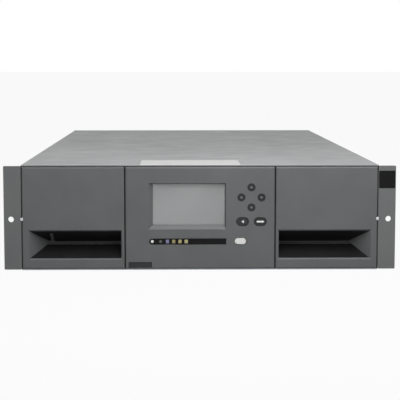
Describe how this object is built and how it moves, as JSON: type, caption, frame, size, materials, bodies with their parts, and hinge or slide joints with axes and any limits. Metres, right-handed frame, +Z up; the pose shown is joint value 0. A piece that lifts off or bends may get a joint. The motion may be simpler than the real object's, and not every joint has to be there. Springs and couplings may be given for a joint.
{
  "type": "data tape library",
  "caption": "Rack-mount data tape library with pull-out cartridge magazines, a control panel, an internal cartridge robot and rear-loading tape drives.",
  "frame": {"origin": "centre of the bounding box in X and Y, at the underside of the case", "axes": "+X to the right seen from the front, +Y from the front face to the back, +Z up"},
  "size_m": [0.4826, 0.87, 0.13],
  "materials": {
    "galvanised_sheet": "folded galvanised sheet",
    "cover_paint": "satin grey paint",
    "ear_paint": "fine textured grey paint",
    "bezel_plastic": "fine moulded texture",
    "black_plastic": "smooth moulded",
    "window_clear": "clear moulded window",
    "display_panel": "unlit liquid crystal panel",
    "lens_plastic": "clear tinted lenses",
    "key_plastic": "moulded keys",
    "power_plastic": "white key",
    "label_film": "blank adhesive film",
    "circuit_board": "solder mask",
    "screw_zinc": "zinc plated",
    "magazine_plastic": "moulded tray",
    "cartridge_plastic": "moulded shell",
    "acetal": "moulded gears",
    "shaft_steel": "ground",
    "robot_aluminium": "milled and anodised",
    "belt_rubber": "toothed belt",
    "motor_black": "black enamel",
    "motor_brass": "plated can",
    "tray_plastic": "moulded",
    "drive_steel": "plated drive case",
    "fan_plastic": "moulded rotor"
  },
  "bodies": {
    "case": {"chassis_base": "galvanised_sheet", "top_cover": "cover_paint", "label_strip": "label_film", "rear_panel": "galvanised_sheet", "rack_ears": "ear_paint", "case_screws": "screw_zinc", "front_frame": "motor_black", "panel_bezel": "bezel_plastic", "display_window": "window_clear", "display_module": "display_panel", "indicator_strip": "black_plastic", "indicator_lenses": "lens_plastic", "keypad_board": "circuit_board", "magazine_guides": "galvanised_sheet", "lift_racks": "acetal", "drive_cage": "galvanised_sheet", "module_cages": "galvanised_sheet", "backplane_boards": "circuit_board"},
    "left_magazine": {"left_bezel": "bezel_plastic", "left_magazine": "magazine_plastic", "left_cartridges": "cartridge_plastic"},
    "right_magazine": {"right_bezel": "bezel_plastic", "right_magazine": "magazine_plastic", "right_cartridges": "cartridge_plastic"},
    "elevator": {"elevator_frame": "robot_aluminium", "lift_motor": "motor_black", "sync_belt": "belt_rubber"},
    "front_shaft": {"front_lift_shaft": "shaft_steel"},
    "rear_shaft": {"rear_lift_shaft": "shaft_steel"},
    "carriage": {"carriage": "robot_aluminium", "carriage_motors": "motor_brass"},
    "travel_pinion": {"travel_pinion": "acetal"},
    "turn_pinion": {"turn_pinion": "acetal"},
    "turntable": {"turntable": "acetal", "gripper_tray": "tray_plastic", "barcode_reader": "black_plastic"},
    "gripper": {"gripper": "robot_aluminium"},
    "left_finger": {"left_finger": "shaft_steel"},
    "right_finger": {"right_finger": "shaft_steel"},
    "drive_1": {"drive_sled_1": "galvanised_sheet", "tape_drive_1": "drive_steel"},
    "drive_2": {"drive_sled_2": "galvanised_sheet", "tape_drive_2": "drive_steel"},
    "drive_3": {"drive_sled_3": "galvanised_sheet", "tape_drive_3": "drive_steel"},
    "psu_1": {"psu_1": "galvanised_sheet"},
    "psu_fan_1": {"psu_fan_1": "fan_plastic"},
    "psu_2": {"psu_2": "galvanised_sheet"},
    "psu_fan_2": {"psu_fan_2": "fan_plastic"},
    "controller": {"controller_sled": "galvanised_sheet"},
    "up_key": {"up_key": "key_plastic"},
    "down_key": {"down_key": "key_plastic"},
    "left_key": {"left_key": "key_plastic"},
    "right_key": {"right_key": "key_plastic"},
    "back_key": {"back_key": "key_plastic"},
    "enter_key": {"enter_key": "key_plastic"},
    "power_key": {"power_key": "power_plastic"},
    "info_tab": {"info_tab": "key_plastic"}
  },
  "joints": [
    {"name": "left_magazine_slide", "type": "slide", "parent": "case", "child": "left_magazine", "axis": [0, -1, 0], "range_m": [0, 0.46]},
    {"name": "right_magazine_slide", "type": "slide", "parent": "case", "child": "right_magazine", "axis": [0, -1, 0], "range_m": [0, 0.46]},
    {"name": "elevator_lift", "type": "slide", "parent": "case", "child": "elevator", "axis": [0, 0, 1], "range_m": [0, 0.09]},
    {"name": "front_shaft_turn", "type": "hinge", "parent": "elevator", "child": "front_shaft", "pos_m": [0, -0.3554, 0.0085], "axis": [1, 0, 0], "range_deg": [0, 921]},
    {"name": "rear_shaft_turn", "type": "hinge", "parent": "elevator", "child": "rear_shaft", "pos_m": [0, 0.145, 0.0085], "axis": [1, 0, 0], "range_deg": [0, 921]},
    {"name": "carriage_travel", "type": "slide", "parent": "elevator", "child": "carriage", "axis": [0, 1, 0], "range_m": [0, 0.33]},
    {"name": "travel_pinion_turn", "type": "hinge", "parent": "carriage", "child": "travel_pinion", "pos_m": [0.085, -0.237, 0.0085], "axis": [1, 0, 0], "range_deg": [-5253, 0]},
    {"name": "tray_turn", "type": "hinge", "parent": "carriage", "child": "turntable", "pos_m": [0, -0.27, 0.0125], "axis": [0, 0, 1], "range_deg": [-90, 90]},
    {"name": "turn_pinion_turn", "type": "hinge", "parent": "carriage", "child": "turn_pinion", "pos_m": [-0.0525, -0.27, 0.0125], "axis": [0, 0, 1], "range_deg": [-540, 540]},
    {"name": "gripper_reach", "type": "slide", "parent": "turntable", "child": "gripper", "axis": [0, 1, 0], "range_m": [0, 0.1325]},
    {"name": "left_finger_grip", "type": "slide", "parent": "gripper", "child": "left_finger", "axis": [1, 0, 0], "range_m": [0, 0.0019]},
    {"name": "right_finger_grip", "type": "slide", "parent": "gripper", "child": "right_finger", "axis": [-1, 0, 0], "range_m": [0, 0.0019]},
    {"name": "drive_1_slide", "type": "slide", "parent": "case", "child": "drive_1", "axis": [0, 1, 0], "range_m": [0, 0.26]},
    {"name": "drive_2_slide", "type": "slide", "parent": "case", "child": "drive_2", "axis": [0, 1, 0], "range_m": [0, 0.26]},
    {"name": "drive_3_slide", "type": "slide", "parent": "case", "child": "drive_3", "axis": [0, 1, 0], "range_m": [0, 0.26]},
    {"name": "psu_1_slide", "type": "slide", "parent": "case", "child": "psu_1", "axis": [0, 1, 0], "range_m": [0, 0.2]},
    {"name": "psu_fan_1_spin", "type": "hinge", "parent": "psu_1", "child": "psu_fan_1", "pos_m": [-0.1268, 0.4, 0.0247], "axis": [0, 1, 0], "continuous": true},
    {"name": "psu_2_slide", "type": "slide", "parent": "case", "child": "psu_2", "axis": [0, 1, 0], "range_m": [0, 0.2]},
    {"name": "psu_fan_2_spin", "type": "hinge", "parent": "psu_2", "child": "psu_fan_2", "pos_m": [-0.1268, 0.4, 0.0687], "axis": [0, 1, 0], "continuous": true},
    {"name": "controller_slide", "type": "slide", "parent": "case", "child": "controller", "axis": [0, 1, 0], "range_m": [0, 0.21]},
    {"name": "up_key_press", "type": "slide", "parent": "case", "child": "up_key", "axis": [0, 1, 0], "range_m": [0, 0.0015], "stiffness_N_per_m": 300},
    {"name": "down_key_press", "type": "slide", "parent": "case", "child": "down_key", "axis": [0, 1, 0], "range_m": [0, 0.0015], "stiffness_N_per_m": 300},
    {"name": "left_key_press", "type": "slide", "parent": "case", "child": "left_key", "axis": [0, 1, 0], "range_m": [0, 0.0015], "stiffness_N_per_m": 300},
    {"name": "right_key_press", "type": "slide", "parent": "case", "child": "right_key", "axis": [0, 1, 0], "range_m": [0, 0.0015], "stiffness_N_per_m": 300},
    {"name": "back_key_press", "type": "slide", "parent": "case", "child": "back_key", "axis": [0, 1, 0], "range_m": [0, 0.0015], "stiffness_N_per_m": 300},
    {"name": "enter_key_press", "type": "slide", "parent": "case", "child": "enter_key", "axis": [0, 1, 0], "range_m": [0, 0.0015], "stiffness_N_per_m": 300},
    {"name": "power_key_press", "type": "slide", "parent": "case", "child": "power_key", "axis": [0, 1, 0], "range_m": [0, 0.0015], "stiffness_N_per_m": 300},
    {"name": "info_tab_slide", "type": "slide", "parent": "case", "child": "info_tab", "axis": [0, -1, 0], "range_m": [0, 0.03]}
  ],
  "couplings": [
    {"joint": "front_shaft_turn", "follows": "elevator_lift", "rad_per_m": 178.57},
    {"joint": "rear_shaft_turn", "follows": "elevator_lift", "rad_per_m": 178.57},
    {"joint": "travel_pinion_turn", "follows": "carriage_travel", "rad_per_m": -277.78},
    {"joint": "turn_pinion_turn", "follows": "tray_turn", "ratio": -6},
    {"joint": "right_finger_grip", "follows": "left_finger_grip", "ratio": 1}
  ]
}
